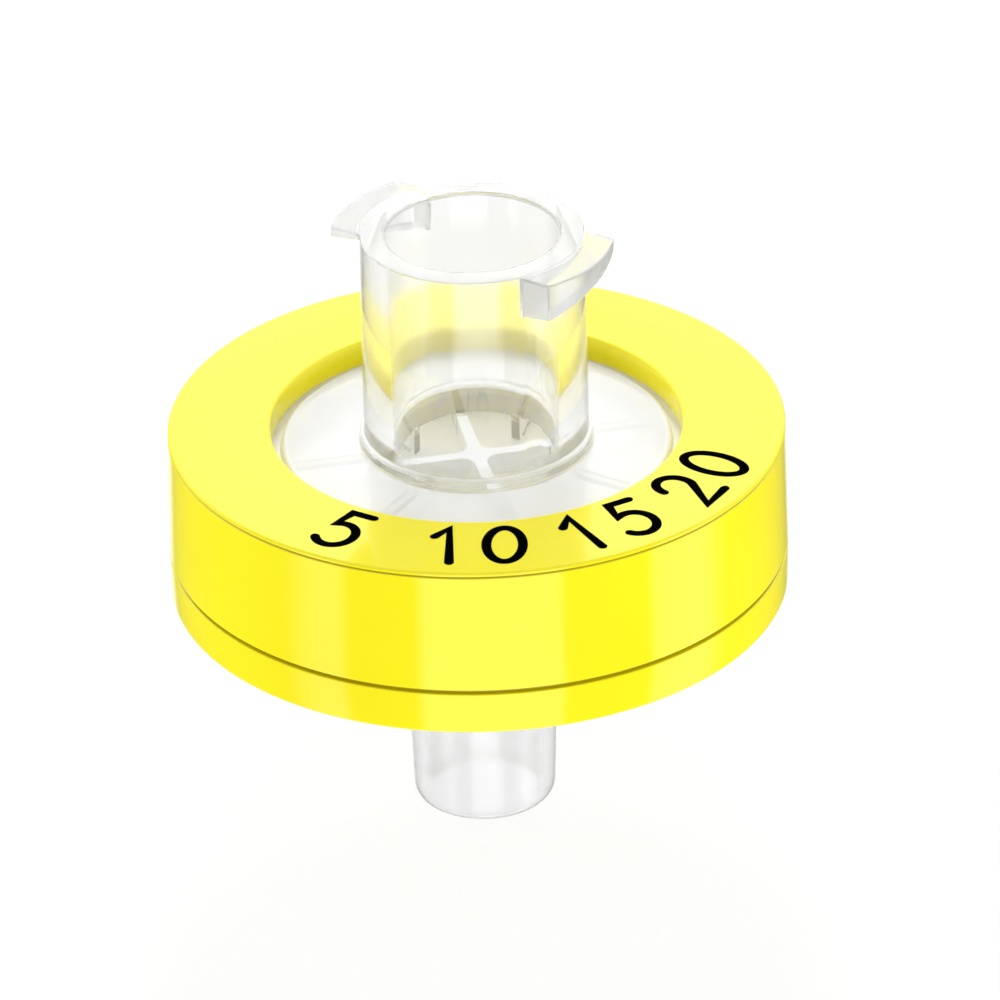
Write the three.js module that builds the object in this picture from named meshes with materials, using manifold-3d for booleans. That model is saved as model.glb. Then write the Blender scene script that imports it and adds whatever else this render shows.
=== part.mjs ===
// Syringe filter, 13 mm class: a luer-lock inlet and a luer-slip outlet in clear polypropylene,
// a nylon membrane clamped between them, and a yellow ring moulded over their joined rims.
//
// Frame: millimetres, +Z up along the flow axis. The origin is the centre of the outlet tip's
// end face, and the two thread lugs of the inlet point along +X and -X.

import * as THREE from "three";
import { mergeVertices, toCreasedNormals } from "three/addons/utils/BufferGeometryUtils.js";
import Module from "manifold-3d";

const wasm = await Module();
wasm.setup();

// ---------------------------------------------------------------- driving dimensions

// Heights along the axis
const OUTLET_REACH = 7.02; // outlet tip below the ring's underside
const RING_HEIGHT = 4.9;
const INLET_REACH = 5.82; // inlet rim above the ring's top
const RECESS_DEPTH = 0.53; // ring's top down to the clear inlet plate
const LOWER_LIP = 1.26; // ring's underside up to the outlet plate and the parting line

// Ring
const RING_WALL = 1.56; // outside the rims, at the underside
const RING_DRAFT = 0.1; // how much narrower the top is than the parting line
const WINDOW_RADIUS = 5.72; // opening in the upper and in the lower lip
const WINDOW_ROUND = 0.1;
const TOP_EDGE_ROUND = 0.12;
const BOTTOM_EDGE_ROUND = 0.12;
const PARTING_GROOVE_WIDTH = 0.14;
const PARTING_GROOVE_DEPTH = 0.1;

// Membrane
const MEMBRANE_RADIUS = 5.8;
const MEMBRANE_THICKNESS = 0.15;
const MEMBRANE_CLEARANCE = 0.1; // to the skirt round its edge
const SEAL_LAND = 0.5; // width of the membrane's edge that the two housings clamp

// Housing rims that the ring grips
const SKIRT_WALL = 1.15;
const RIM_CLEARANCE = 0.05; // rims to the ring's inner wall

// Inlet housing
const INLET_PLATE = 0.42;
const INLET_CHANNEL = 0.64; // height of the ribs between plate and membrane
const SHUTOFF_GAP = 0.53; // raised plate's edge to the ring's window
const SHUTOFF_STEP = 0.2; // raised plate above the land under the ring's lip
const SHUTOFF_DRAFT = 0.06; // slope of that step
const MOUTH_RADIUS = 2.38;
const RIM_EDGE = 0.05; // bevel on both edges of the rim
const BARREL_WALL = 0.69; // at the mouth
const BARREL_DRAFT = 0.06; // how much wider the barrel is at its foot than at its rim
const SOCKET_DRAFT = 0.07; // how much narrower the socket is at its foot than at its mouth
const COLLAR_PROJECTION = 0.12;
const COLLAR_HEIGHT = 0.35;
const COLLAR_EDGE = 0.08;

// Thread lugs
const LUG_PROJECTION = 0.83; // beyond the barrel
const LUG_WIDTH = 3.33; // between its parallel ends
const LUG_DEPTH = 0.71; // at the middle of the lug
const LUG_LEAD = 5.5; // rise of the lug's underside in one turn

// Flow splitter in the inlet, and the ribs under the inlet plate
const SPLITTER_ANGLE = 45; // degrees from +X to the first arm
const SPLITTER_WIDTH = 0.35;
const SPLITTER_FILLET = 0.4;
const RIB_WIDTH = 0.3;
const RIB_STUB = 0.12; // how far a rib without an arm shows inside the hole

// Outlet housing
const OUTLET_CHANNEL = 0.45; // height of the bars that carry the membrane
const TIP_RADIUS = 2.01; // where the outlet cone would meet the end face
const OUTLET_SLOPE = 0.03; // radius gained per millimetre of height: the 6 % luer taper
const TIP_ROUND_WIDTH = 0.16; // rounding of both edges of the tip, across the wall
const TIP_ROUND_HEIGHT = 0.4; // and along it
const OUTLET_BORE_RADIUS = 1.57; // above the rounding
const OUTLET_BORE_DRAFT = 0.12; // how much narrower the bore is at the plate
const OUTLET_BORE_EDGE = 0.05; // bevel where the bore opens into the channels
const OUTLET_ROOT_FILLET = 0.3;
const BAR_WIDTH = 0.36;
const BAR_COUNT = 16;
const LONG_BAR_START = 1.9; // radius at which every second bar starts
const SHORT_BAR_START = 3.4;

// Mesh
const SEGMENTS = 64; // facets round the axis
const LUG_SEGMENTS = 16; // facets along a lug
const EMBED = 0.1; // how far a joined feature reaches into its own housing

// ---------------------------------------------------------------- heights and radii

const RING_UNDERSIDE = OUTLET_REACH;
const RING_TOP = RING_UNDERSIDE + RING_HEIGHT;
const INLET_RIM = RING_TOP + INLET_REACH;
const OUTLET_UNDERSIDE = RING_UNDERSIDE + LOWER_LIP;

const PLATE_TOP = RING_TOP - RECESS_DEPTH;
const LAND_TOP = PLATE_TOP - SHUTOFF_STEP;
const PLATE_UNDERSIDE = PLATE_TOP - INLET_PLATE;
const MEMBRANE_TOP = PLATE_UNDERSIDE - INLET_CHANNEL;
const JOINT_PLANE = MEMBRANE_TOP - MEMBRANE_THICKNESS;
const OUTLET_FLOOR = JOINT_PLANE - OUTLET_CHANNEL;
const COLLAR_TOP = PLATE_TOP + COLLAR_HEIGHT;

const SKIRT_INNER_RADIUS = MEMBRANE_RADIUS + MEMBRANE_CLEARANCE;
const RIM_RADIUS = SKIRT_INNER_RADIUS + SKIRT_WALL;
const CAVITY_RADIUS = RIM_RADIUS + RIM_CLEARANCE;
const RING_RADIUS = CAVITY_RADIUS + RING_WALL;
const CHANNEL_RADIUS = MEMBRANE_RADIUS - SEAL_LAND;
const BARREL_RADIUS = MOUTH_RADIUS + BARREL_WALL;
const BARREL_FOOT_RADIUS = BARREL_RADIUS + BARREL_DRAFT;
const COLLAR_RADIUS = BARREL_FOOT_RADIUS + COLLAR_PROJECTION;
const HOLE_RADIUS = MOUTH_RADIUS - SOCKET_DRAFT;

// ---------------------------------------------------------------- geometry helpers

const radians = THREE.MathUtils.degToRad;

// A closed three.js geometry as a solid that can be joined and cut.
function toSolid(geometry) {
  const shell = geometry.clone();
  shell.deleteAttribute("normal");
  shell.deleteAttribute("uv");
  const merged = mergeVertices(shell);
  return new wasm.Manifold(
    new wasm.Mesh({
      numProp: 3,
      vertProperties: merged.attributes.position.array,
      triVerts: new Uint32Array(merged.index.array),
    }),
  );
}

// A solid back as a three.js geometry, with sharp edges where its faces turn.
function toGeometry(solid) {
  const creaseAngle = radians(30);
  const mesh = solid.getMesh();
  const geometry = new THREE.BufferGeometry();
  geometry.setAttribute("position", new THREE.BufferAttribute(mesh.vertProperties, 3));
  geometry.setIndex(new THREE.BufferAttribute(mesh.triVerts, 1));
  return toCreasedNormals(geometry, creaseAngle);
}

// Points of an elliptical arc in the (radius, height) plane, both ends included.
function ellipseArc(centre, width, height, fromDegrees, toDegrees, steps) {
  const from = radians(fromDegrees);
  const to = radians(toDegrees);
  const curve = new THREE.EllipseCurve(centre[0], centre[1], width, height, from, to, to < from);
  return curve.getPoints(steps).map((point) => [point.x, point.y]);
}

// The same for a circular arc.
function arc(centre, size, fromDegrees, toDegrees, steps = 3) {
  return ellipseArc(centre, size, size, fromDegrees, toDegrees, steps);
}

// Turns a closed (radius, height) outline about Z. The outline runs outwards along its
// underside, up its outside and back inwards along its top.
function revolve(outline) {
  const points = outline.map(([radius, height]) => new THREE.Vector2(radius, height));
  points.push(points[0].clone());
  return new THREE.LatheGeometry(points, SEGMENTS).rotateX(Math.PI / 2);
}

// A straight bar that lies radially, between two radii and two heights.
function radialBar(innerRadius, outerRadius, width, bottom, top, degrees) {
  const bar = new THREE.BoxGeometry(outerRadius - innerRadius, width, top - bottom);
  bar.translate((innerRadius + outerRadius) / 2, 0, (bottom + top) / 2);
  return bar.rotateZ(radians(degrees));
}

// Joins features onto a body.
function join(body, features) {
  return features.reduce((solid, feature) => solid.add(feature), body);
}

// ---------------------------------------------------------------- inlet housing

// Socket, barrel, collar, plate and the skirt round the membrane, as one turned body.
function inletBody() {
  return revolve([
    [HOLE_RADIUS, PLATE_UNDERSIDE],
    [CHANNEL_RADIUS, PLATE_UNDERSIDE],
    [CHANNEL_RADIUS, MEMBRANE_TOP],
    [SKIRT_INNER_RADIUS, MEMBRANE_TOP],
    [SKIRT_INNER_RADIUS, JOINT_PLANE],
    [RIM_RADIUS, JOINT_PLANE],
    [RIM_RADIUS, LAND_TOP],
    [WINDOW_RADIUS - SHUTOFF_GAP + SHUTOFF_DRAFT, LAND_TOP],
    [WINDOW_RADIUS - SHUTOFF_GAP, PLATE_TOP],
    [COLLAR_RADIUS, PLATE_TOP],
    [COLLAR_RADIUS, COLLAR_TOP - COLLAR_EDGE],
    [COLLAR_RADIUS - COLLAR_EDGE, COLLAR_TOP],
    [BARREL_FOOT_RADIUS, COLLAR_TOP],
    [BARREL_RADIUS, INLET_RIM - RIM_EDGE],
    [BARREL_RADIUS - RIM_EDGE, INLET_RIM],
    [MOUTH_RADIUS, INLET_RIM],
    [MOUTH_RADIUS - RIM_EDGE, INLET_RIM - RIM_EDGE],
  ]);
}

// One thread lug: a bent block with a flat top and a helical underside, trimmed to parallel ends.
function threadLug(turnDegrees) {
  const rootRadius = BARREL_RADIUS - EMBED;
  const outerRadius = BARREL_RADIUS + LUG_PROJECTION;
  const overrun = radians(2);
  const halfSpan = Math.asin(LUG_WIDTH / 2 / rootRadius) + overrun;
  const block = new THREE.BoxGeometry(1, 2, 1, 1, LUG_SEGMENTS, 1);
  const position = block.attributes.position;
  for (let i = 0; i < position.count; i += 1) {
    const radius = position.getX(i) < 0 ? rootRadius : outerRadius;
    const angle = position.getY(i) * halfSpan;
    const depth = LUG_DEPTH - (LUG_LEAD * angle) / (2 * Math.PI);
    const height = position.getZ(i) > 0 ? INLET_RIM : INLET_RIM - depth;
    position.setXYZ(i, radius * Math.cos(angle), radius * Math.sin(angle), height);
  }
  const trim = new THREE.BoxGeometry(outerRadius * 2, LUG_WIDTH, INLET_RIM);
  trim.translate(outerRadius, 0, INLET_RIM);
  const lug = toSolid(block).intersect(toSolid(trim));
  return lug.rotate([0, 0, turnDegrees]);
}

// The cross in the hole, with a concave fillet between each two arms.
function flowSplitter() {
  const half = SPLITTER_WIDTH / 2;
  const reach = HOLE_RADIUS + EMBED;
  const centre = half + SPLITTER_FILLET;
  const outline = new THREE.Shape();
  for (let arm = 0; arm < 4; arm += 1) {
    const along = new THREE.Vector2(1, 0).rotateAround(new THREE.Vector2(), (arm * Math.PI) / 2);
    const across = new THREE.Vector2(-along.y, along.x);
    const place = (x, y) => along.clone().multiplyScalar(x).addScaledVector(across, y);
    const right = place(reach, -half);
    const left = place(reach, half);
    const corner = place(centre, centre);
    if (arm === 0) outline.moveTo(right.x, right.y);
    else outline.lineTo(right.x, right.y);
    outline.lineTo(left.x, left.y);
    const start = (arm * Math.PI) / 2 - Math.PI / 2;
    outline.absarc(corner.x, corner.y, SPLITTER_FILLET, start, start - Math.PI / 2, true);
  }
  const depth = PLATE_UNDERSIDE - MEMBRANE_TOP;
  const cross = new THREE.ExtrudeGeometry(outline, { depth, bevelEnabled: false, curveSegments: 4 });
  cross.rotateZ(radians(SPLITTER_ANGLE)).translate(0, 0, MEMBRANE_TOP);
  return cross;
}

// Ribs between plate and membrane: one behind each arm, and one between each two arms.
function inletRibs() {
  const ribs = [];
  for (let quarter = 0; quarter < 4; quarter += 1) {
    const armAngle = SPLITTER_ANGLE + quarter * 90;
    const top = PLATE_UNDERSIDE + EMBED;
    const end = CHANNEL_RADIUS + EMBED;
    ribs.push(radialBar(HOLE_RADIUS, end, RIB_WIDTH, MEMBRANE_TOP, top, armAngle));
    ribs.push(radialBar(HOLE_RADIUS - RIB_STUB, end, RIB_WIDTH, MEMBRANE_TOP, top, armAngle + 45));
  }
  return ribs;
}

function inletHousing() {
  const features = [threadLug(0), threadLug(180), toSolid(flowSplitter())];
  return join(toSolid(inletBody()), [...features, ...inletRibs().map(toSolid)]);
}

// ---------------------------------------------------------------- outlet housing

// Plate and tapered outlet with its bore, as one turned body.
function outletBody() {
  const coneRadius = (height) => TIP_RADIUS + OUTLET_SLOPE * height;
  const rootHeight = OUTLET_UNDERSIDE - OUTLET_ROOT_FILLET;
  const rootRadius = coneRadius(rootHeight);
  const filletRadius = rootRadius + OUTLET_ROOT_FILLET;
  const drainRadius = OUTLET_BORE_RADIUS - OUTLET_BORE_DRAFT;
  const tipRound = (centreRadius, from, to) =>
    ellipseArc([centreRadius, TIP_ROUND_HEIGHT], TIP_ROUND_WIDTH, TIP_ROUND_HEIGHT, from, to, 6);
  return revolve([
    ...tipRound(OUTLET_BORE_RADIUS + TIP_ROUND_WIDTH, 180, 270),
    ...tipRound(coneRadius(TIP_ROUND_HEIGHT) - TIP_ROUND_WIDTH, 270, 360),
    ...arc([filletRadius, rootHeight], OUTLET_ROOT_FILLET, 180, 90),
    [RIM_RADIUS, OUTLET_UNDERSIDE],
    [RIM_RADIUS, JOINT_PLANE],
    [CHANNEL_RADIUS, JOINT_PLANE],
    [CHANNEL_RADIUS, OUTLET_FLOOR],
    [drainRadius + OUTLET_BORE_EDGE, OUTLET_FLOOR],
    [drainRadius, OUTLET_FLOOR - OUTLET_BORE_EDGE],
  ]);
}

// Bars that carry the membrane and leave channels to the bore between them.
function supportBars() {
  return Array.from({ length: BAR_COUNT }, (_, index) => {
    const start = index % 2 === 0 ? LONG_BAR_START : SHORT_BAR_START;
    const degrees = SPLITTER_ANGLE + (index * 360) / BAR_COUNT;
    const end = CHANNEL_RADIUS + EMBED;
    return radialBar(start, end, BAR_WIDTH, OUTLET_FLOOR - EMBED, JOINT_PLANE, degrees);
  });
}

function outletHousing() {
  return join(toSolid(outletBody()), supportBars().map(toSolid));
}

// ---------------------------------------------------------------- membrane and ring

function membrane() {
  return revolve([
    [0, JOINT_PLANE],
    [MEMBRANE_RADIUS, JOINT_PLANE],
    [MEMBRANE_RADIUS, MEMBRANE_TOP],
    [0, MEMBRANE_TOP],
  ]);
}

// The ring's section is a C that grips both rims, with a groove at the parting line.
function overmouldRing() {
  const partingHeight = OUTLET_UNDERSIDE;
  const halfGroove = PARTING_GROOVE_WIDTH / 2;
  const topRadius = RING_RADIUS - RING_DRAFT;
  const lipRadius = WINDOW_RADIUS + WINDOW_ROUND;
  const bottomEdge = [RING_RADIUS - BOTTOM_EDGE_ROUND, RING_UNDERSIDE + BOTTOM_EDGE_ROUND];
  const topEdge = [topRadius - TOP_EDGE_ROUND, RING_TOP - TOP_EDGE_ROUND];
  return revolve([
    ...arc([lipRadius, RING_UNDERSIDE + WINDOW_ROUND], WINDOW_ROUND, 180, 270),
    ...arc(bottomEdge, BOTTOM_EDGE_ROUND, 270, 360),
    [RING_RADIUS, partingHeight - halfGroove],
    [RING_RADIUS - PARTING_GROOVE_DEPTH, partingHeight],
    [RING_RADIUS, partingHeight + halfGroove],
    ...arc(topEdge, TOP_EDGE_ROUND, 0, 90),
    ...arc([lipRadius, RING_TOP - WINDOW_ROUND], WINDOW_ROUND, 90, 180),
    [WINDOW_RADIUS, LAND_TOP],
    [CAVITY_RADIUS, LAND_TOP],
    [CAVITY_RADIUS, OUTLET_UNDERSIDE],
    [WINDOW_RADIUS, OUTLET_UNDERSIDE],
  ]);
}

// ---------------------------------------------------------------- materials and assembly

const clearPlastic = new THREE.MeshStandardMaterial({
  color: 0xf1f2ee,
  roughness: 0.12,
  metalness: 0,
  transparent: true,
  opacity: 0.35,
});
const yellowPlastic = new THREE.MeshStandardMaterial({ color: 0xfcf02c, roughness: 0.3, metalness: 0 });
const nylon = new THREE.MeshStandardMaterial({ color: 0xf6f5ec, roughness: 0.85, metalness: 0 });

function namedMesh(name, geometry, material) {
  const mesh = new THREE.Mesh(geometry, material);
  mesh.name = name;
  return mesh;
}

const syringeFilter = new THREE.Group();
syringeFilter.name = "syringe_filter";
syringeFilter.add(
  namedMesh("inlet_housing", toGeometry(inletHousing()), clearPlastic),
  namedMesh("membrane", membrane(), nylon),
  namedMesh("outlet_housing", toGeometry(outletHousing()), clearPlastic),
  namedMesh("overmould_ring", overmouldRing(), yellowPlastic),
);

export default syringeFilter;
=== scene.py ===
"""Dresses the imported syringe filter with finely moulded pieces, their finishes and a plain studio.

Every piece stands in the row frame: metres, +Z up along the flow axis, the outlet tip's end face at
the origin. The sizes in the classes are in millimetres and are scaled once, when a mesh is made.
"""

import logging
import math
from dataclasses import dataclass
from enum import Enum
from typing import Callable, ClassVar, Sequence, Union

import bmesh
import bpy
from mathutils import Matrix, Vector


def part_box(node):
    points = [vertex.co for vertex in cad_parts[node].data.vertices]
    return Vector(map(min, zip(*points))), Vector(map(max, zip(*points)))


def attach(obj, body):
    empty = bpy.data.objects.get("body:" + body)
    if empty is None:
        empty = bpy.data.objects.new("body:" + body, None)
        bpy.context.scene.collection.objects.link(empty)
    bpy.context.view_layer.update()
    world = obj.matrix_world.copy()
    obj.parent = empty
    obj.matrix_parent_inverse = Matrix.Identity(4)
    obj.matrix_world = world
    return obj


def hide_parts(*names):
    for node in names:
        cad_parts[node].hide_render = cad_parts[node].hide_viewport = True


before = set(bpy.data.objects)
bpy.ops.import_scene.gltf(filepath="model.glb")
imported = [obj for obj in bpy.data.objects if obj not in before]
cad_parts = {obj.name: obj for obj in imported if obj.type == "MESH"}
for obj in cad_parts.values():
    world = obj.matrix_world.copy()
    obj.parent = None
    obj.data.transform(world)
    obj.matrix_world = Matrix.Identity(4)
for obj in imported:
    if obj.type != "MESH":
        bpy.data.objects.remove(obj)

LOG = logging.getLogger("syringe_filter")
MM = 0.001
BEYOND = 1.0  # how far a zone reaches past what it covers, where nothing else is
Point = tuple[float, float]
Station = tuple[Vector, Vector, float]
Colour = tuple[float, float, float]
WHITE: Colour = (1.0, 1.0, 1.0)


# --- shared heights and radii


@dataclass(frozen=True)
class Envelope:
    """Heights and radii that the pieces share, in millimetres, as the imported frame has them."""

    ring_radius: float
    ring_bottom: float
    ring_top: float
    rim_radius: float
    joint: float
    inlet_top: float
    tip: float
    membrane_radius: float
    membrane_top: float

    @classmethod
    def from_frame(cls) -> "Envelope":
        """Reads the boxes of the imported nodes.

        Returns:
            The shared heights and radii.
        """
        ring_low, ring_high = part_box("overmould_ring")
        inlet_low, inlet_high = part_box("inlet_housing")
        outlet_low, outlet_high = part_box("outlet_housing")
        membrane_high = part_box("membrane")[1]
        return cls(
            ring_radius=ring_high[0] / MM,
            ring_bottom=ring_low[2] / MM,
            ring_top=ring_high[2] / MM,
            rim_radius=outlet_high[0] / MM,
            joint=inlet_low[2] / MM,
            inlet_top=inlet_high[2] / MM,
            tip=outlet_low[2] / MM,
            membrane_radius=membrane_high[0] / MM,
            membrane_top=membrane_high[2] / MM,
        )


# --- turned sections


@dataclass(frozen=True)
class Corner:
    """A corner of a turned section: where it is, and the radius that rounds it."""

    radius: float
    height: float
    rounding: float = 0.0


def rounded_outline(corners: Sequence[Corner], step_degrees: float = 12.0) -> list[Point]:
    """Replaces each corner that has a rounding with an arc.

    Args:
        corners: The closed section's corners, in order.
        step_degrees: The turn between two points of an arc.

    Returns:
        The outline's points, as (radius, height).
    """
    outline: list[Point] = []
    for index, corner in enumerate(corners):
        here = Vector((corner.radius, corner.height))
        if corner.rounding == 0:
            outline.append(tuple(here))
            continue
        before, after = corners[index - 1], corners[(index + 1) % len(corners)]
        towards_before = (Vector((before.radius, before.height)) - here).normalized()
        towards_after = (Vector((after.radius, after.height)) - here).normalized()
        opening = towards_before.angle(towards_after)
        inwards = (towards_before + towards_after).normalized()
        centre = here + inwards * (corner.rounding / math.sin(opening / 2))
        reach = corner.rounding / math.tan(opening / 2)
        start = here + towards_before * reach - centre
        end = here + towards_after * reach - centre
        steps = max(2, math.ceil(math.degrees(math.pi - opening) / step_degrees))
        for step in range(steps + 1):
            share = step / steps
            spoke = (start * (1 - share) + end * share).normalized() * corner.rounding
            outline.append(tuple(centre + spoke))
    return outline


def arc_path(
    centre: Point, width: float, height: float, start: float, end: float, steps: int
) -> list[Point]:
    """Points along an elliptical arc.

    Args:
        centre: The ellipse's centre.
        width: Its half width.
        height: Its half height.
        start: The first angle in degrees.
        end: The last angle in degrees.
        steps: How many chords the arc has.

    Returns:
        The points.
    """
    angles = [math.radians(start + (end - start) * step / steps) for step in range(steps + 1)]
    return [(centre[0] + width * math.cos(a), centre[1] + height * math.sin(a)) for a in angles]


def add_object(name: str, data: bpy.types.ID) -> bpy.types.Object:
    """Puts an object with this data into the scene.

    Args:
        name: The object's name.
        data: Its mesh, light or camera.

    Returns:
        The object.
    """
    added = bpy.data.objects.new(name, data)
    bpy.context.scene.collection.objects.link(added)
    return added


class Solid:
    """A closed mesh object in the making, with its sizes in millimetres."""

    def __init__(self, name: str, points: Sequence[Vector], faces: Sequence[Sequence[int]]) -> None:
        """Makes the object.

        Args:
            name: The piece's name.
            points: The mesh's points in millimetres.
            faces: The corners of each face.
        """
        mesh = bpy.data.meshes.new(name)
        mesh.from_pydata([Vector(point) * MM for point in points], [], faces)
        self.object = add_object(name, mesh)
        self._clean()

    @classmethod
    def turned(cls, name: str, outline: Sequence[Point], segments: int) -> "Solid":
        """Turns a closed outline about the axis.

        Args:
            name: The piece's name.
            outline: The section, as (radius, height).
            segments: How many facets a full turn has.

        Returns:
            The turned solid.
        """
        angles = [2 * math.pi * segment / segments for segment in range(segments)]
        loops = [[Vector((r * math.cos(a), r * math.sin(a), z)) for r, z in outline] for a in angles]
        return cls.swept(name, loops, endless=True)

    @classmethod
    def swept(cls, name: str, loops: Sequence[Sequence[Vector]], endless: bool = False) -> "Solid":
        """Skins a row of closed loops that all have as many points.

        Args:
            name: The piece's name.
            loops: The loops, in millimetres.
            endless: Whether the last loop leads back to the first one; if not, both ends are capped.

        Returns:
            The skinned solid.
        """
        count, rows = len(loops[0]), len(loops)
        points = [point for loop in loops for point in loop]
        faces: list[Sequence[int]] = []
        for row in range(rows if endless else rows - 1):
            here, beyond = row * count, (row + 1) % rows * count
            for i in range(count):
                j = (i + 1) % count
                faces.append((here + i, here + j, beyond + j, beyond + i))
        if not endless:
            faces += [tuple(range(count)), tuple(range((rows - 1) * count, rows * count))]
        return cls(name, points, faces)

    @classmethod
    def spokes(
        cls,
        starts: Sequence[float],
        end: float,
        width: float,
        span: Point,
        first: float,
        count: int,
        rounding: float,
    ) -> "Solid":
        """A round of straight bars that lie radially.

        Args:
            starts: The radii that they start at, taken in turn.
            end: The radius that they all end at.
            width: Their width.
            span: The heights of their undersides and tops.
            first: The first one's direction in degrees from +X.
            count: How many there are.
            rounding: The width of their edges' rounding.

        Returns:
            All bars in one mesh.
        """
        half, (bottom, top) = width / 2, span
        section = ((-half, bottom), (half, bottom), (half, top), (-half, top))
        bars = []
        for index in range(count):
            spin = Matrix.Rotation(math.radians(first + 360 * index / count), 3, "Z")
            reach = (starts[index % len(starts)], end)
            loops = [[spin @ Vector((r, y, z)) for y, z in section] for r in reach]
            bars.append(cls.swept("bar", loops).rounded(rounding, 2))
        return bars[0].merged_with(bars[1:])

    def _clean(self) -> None:
        """Merges points that coincide, drops what that flattens, and turns every face outwards."""
        mesh = self.object.data
        work = bmesh.new()
        work.from_mesh(mesh)
        bmesh.ops.remove_doubles(work, verts=work.verts, dist=1e-7)
        bmesh.ops.dissolve_degenerate(work, edges=work.edges, dist=1e-8)
        bmesh.ops.recalc_face_normals(work, faces=work.faces)
        work.to_mesh(mesh)
        work.free()

    def _apply(self, kind: str, settings: dict[str, object]) -> None:
        """Adds a modifier and bakes it into the mesh.

        Args:
            kind: The modifier's type.
            settings: Its settings.
        """
        modifier = self.object.modifiers.new(kind.title(), kind)
        for key, value in settings.items():
            setattr(modifier, key, value)
        shaped = self.object.evaluated_get(bpy.context.evaluated_depsgraph_get())
        result = bpy.data.meshes.new_from_object(shaped)
        self.object.modifiers.clear()
        before = self.object.data
        result.name = before.name
        self.object.data = result
        bpy.data.meshes.remove(before)

    def merged_with(self, others: Sequence["Solid"]) -> "Solid":
        """Takes others into this mesh as they are, which suits solids that don't touch.

        Args:
            others: The solids, which are used up.

        Returns:
            This solid.
        """
        work = bmesh.new()
        work.from_mesh(self.object.data)
        for other in others:
            work.from_mesh(other.object.data)
            other.discard()
        work.to_mesh(self.object.data)
        work.free()
        return self

    def rounded(self, width: float, segments: int = 3, sharper_than: float = 40.0) -> "Solid":
        """Rounds every sharp edge.

        Args:
            width: The rounding's width in millimetres.
            segments: How many facets it has.
            sharper_than: The smallest turn between two faces that counts as sharp, in degrees.

        Returns:
            This solid.
        """
        size = {"width": width * MM, "segments": segments, "use_clamp_overlap": True}
        limit = {"limit_method": "ANGLE", "angle_limit": math.radians(sharper_than)}
        self._apply("BEVEL", size | limit | {"miter_outer": "MITER_ARC"})
        return self

    def joined_with(self, other: "Solid") -> "Solid":
        """Joins another solid onto this one, so that no wall is left between them.

        Args:
            other: The solid, which is used up.

        Returns:
            This solid.
        """
        self._apply("BOOLEAN", {"operation": "UNION", "solver": "EXACT", "object": other.object})
        other.discard()
        self._clean()
        return self

    def turned_copy(self, degrees: float) -> "Solid":
        """A copy of this solid, turned about the axis.

        Args:
            degrees: How far it is turned.

        Returns:
            The copy.
        """
        mesh = self.object.data.copy()
        mesh.transform(Matrix.Rotation(math.radians(degrees), 4, "Z"))
        copy = object.__new__(Solid)
        copy.object = add_object(self.object.name, mesh)
        return copy

    def discard(self) -> None:
        """Removes the object and its mesh."""
        mesh = self.object.data
        bpy.data.objects.remove(self.object)
        bpy.data.meshes.remove(mesh)

    def smoothed(self, sharper_than: float = 32.0) -> "Solid":
        """Shades the solid smoothly between its sharp edges, with flat faces left flat.

        Args:
            sharper_than: The smallest turn between two faces that stays sharp, in degrees.

        Returns:
            This solid.
        """
        mesh = self.object.data
        mesh.shade_smooth()
        mesh.set_sharp_from_angle(angle=math.radians(sharper_than))
        self._apply("WEIGHTED_NORMAL", {"mode": "FACE_AREA", "weight": 50, "keep_sharp": True})
        return self


# --- node trees as expressions


def node_operator(operation: str, swapped: bool = False) -> Callable[["Value", "Number"], "Value"]:
    """Makes the method behind an operator.

    Args:
        operation: What the Math node does.
        swapped: Whether the other term comes first.

    Returns:
        The method.
    """

    def method(this: "Value", other: "Number") -> "Value":
        """Adds a Math node that takes both terms."""
        return this.graph.maths(operation, *((other, this) if swapped else (this, other)))

    return method


class Value:
    """A socket that gives a number, for use in Python expressions."""

    __add__, __radd__ = node_operator("ADD"), node_operator("ADD", True)
    __sub__, __rsub__ = node_operator("SUBTRACT"), node_operator("SUBTRACT", True)
    __mul__, __rmul__ = node_operator("MULTIPLY"), node_operator("MULTIPLY", True)
    __pow__ = node_operator("POWER")

    def __init__(self, graph: "Graph", socket: bpy.types.NodeSocket) -> None:
        """Wraps a socket.

        Args:
            graph: The tree that the socket is in.
            socket: The output socket.
        """
        self.graph = graph
        self.socket = socket


Number = Union[Value, float]
Input = Union[Value, float, Colour]


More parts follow.
